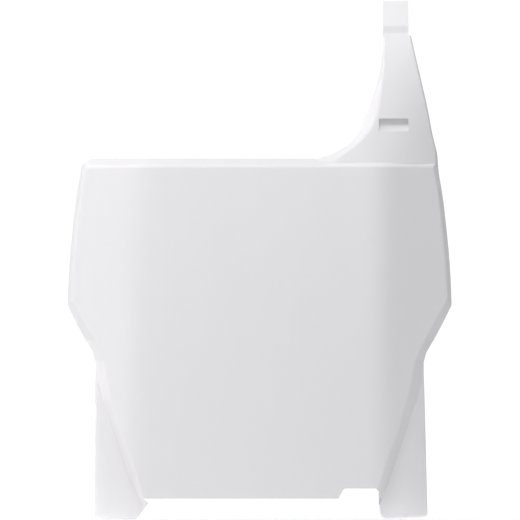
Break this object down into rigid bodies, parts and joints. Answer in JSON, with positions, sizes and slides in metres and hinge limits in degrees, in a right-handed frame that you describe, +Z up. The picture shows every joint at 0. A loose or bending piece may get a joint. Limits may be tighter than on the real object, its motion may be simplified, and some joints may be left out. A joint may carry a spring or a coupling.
{
  "type": "racing number board",
  "caption": "Moulded shield-shaped front number board with a flat panel, swept-back wings, set-back lower legs and a one-sided slotted mounting arm.",
  "frame": {"origin": "middle of the flat number panel, on its front skin", "axes": "-Y out of the number panel towards the front, +Z up the board, +X to the viewer's right, the side with the arm"},
  "size_m": [0.236, 0.0376, 0.3183],
  "materials": {
    "board_plastic": "white satin moulded polypropylene"
  },
  "bodies": {
    "root": {"number_board": "board_plastic"}
  },
  "joints": []
}
